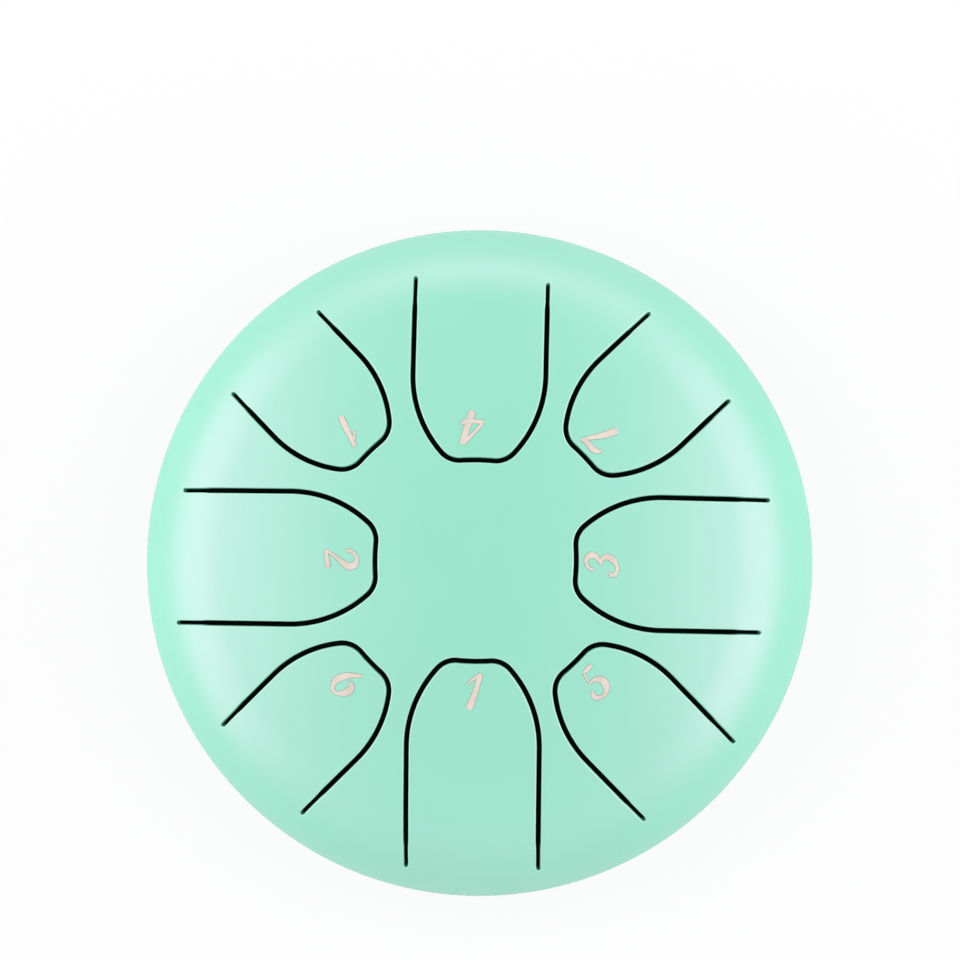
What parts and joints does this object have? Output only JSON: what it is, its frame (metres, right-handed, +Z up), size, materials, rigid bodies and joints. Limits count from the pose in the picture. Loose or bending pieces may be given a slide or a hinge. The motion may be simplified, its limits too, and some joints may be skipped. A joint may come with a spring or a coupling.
{
  "type": "steel tongue drum",
  "caption": "Round welded steel drum on rubber feet, whose dished top is slit into tuned tongues that ring when they are struck, with a sound hole below.",
  "frame": {"origin": "on the table, under the middle of the drum", "axes": "+Z up along the drum's axis; +X along the tongue marked 3; -Y towards the player, along the lowest tongue"},
  "size_m": [0.1556, 0.1556, 0.0777],
  "materials": {
    "mint_paint": "satin",
    "foot_rubber": "matte",
    "zinc_steel": "zinc plated"
  },
  "bodies": {
    "drum": {"top_shell": "mint_paint", "bottom_shell": "mint_paint", "rim_weld": "mint_paint", "foot_rear_right": "foot_rubber", "foot_rear_left": "foot_rubber", "foot_front_left": "foot_rubber", "foot_front_right": "foot_rubber", "foot_screws": "zinc_steel", "foot_washers": "zinc_steel", "foot_nuts": "zinc_steel"},
    "tongue_1_low": {"tongue_1_low": "mint_paint"},
    "tongue_2": {"tongue_2": "mint_paint"},
    "tongue_3": {"tongue_3": "mint_paint"},
    "tongue_4": {"tongue_4": "mint_paint"},
    "tongue_5": {"tongue_5": "mint_paint"},
    "tongue_6": {"tongue_6": "mint_paint"},
    "tongue_7": {"tongue_7": "mint_paint"},
    "tongue_1_high": {"tongue_1_high": "mint_paint"}
  },
  "joints": [
    {"name": "flex_1_low", "type": "hinge", "parent": "drum", "child": "tongue_1_low", "pos_m": [0, -0.0705, 0.05768], "axis": [-1, 0, 0], "range_deg": [-0.8, 0.8], "stiffness_Nm_per_rad": 53.77},
    {"name": "flex_2", "type": "hinge", "parent": "drum", "child": "tongue_2", "pos_m": [-0.06784, 0, 0.06062], "axis": [0, 1, 0], "range_deg": [-0.8, 0.8], "stiffness_Nm_per_rad": 56.97},
    {"name": "flex_3", "type": "hinge", "parent": "drum", "child": "tongue_3", "pos_m": [0.06533, 0, 0.06271], "axis": [0, -1, 0], "range_deg": [-0.8, 0.8], "stiffness_Nm_per_rad": 60.36},
    {"name": "flex_4", "type": "hinge", "parent": "drum", "child": "tongue_4", "pos_m": [0, 0.06413, 0.06354], "axis": [1, 0, 0], "range_deg": [-0.8, 0.8], "stiffness_Nm_per_rad": 62.13},
    {"name": "flex_5", "type": "hinge", "parent": "drum", "child": "tongue_5", "pos_m": [0.04914, -0.04914, 0.0591], "axis": [-0.7071, -0.7071, 0], "range_deg": [-0.8, 0.8], "stiffness_Nm_per_rad": 61.29},
    {"name": "flex_6", "type": "hinge", "parent": "drum", "child": "tongue_6", "pos_m": [-0.04841, -0.04841, 0.06019], "axis": [-0.7071, 0.7071, 0], "range_deg": [-0.8, 0.8], "stiffness_Nm_per_rad": 64.94},
    {"name": "flex_7", "type": "hinge", "parent": "drum", "child": "tongue_7", "pos_m": [0.04772, 0.04772, 0.06112], "axis": [0.7071, -0.7071, 0], "range_deg": [-0.8, 0.8], "stiffness_Nm_per_rad": 68.8},
    {"name": "flex_1_high", "type": "hinge", "parent": "drum", "child": "tongue_1_high", "pos_m": [-0.04739, 0.04739, 0.06152], "axis": [0.7071, 0.7071, 0], "range_deg": [-0.8, 0.8], "stiffness_Nm_per_rad": 70.81}
  ]
}
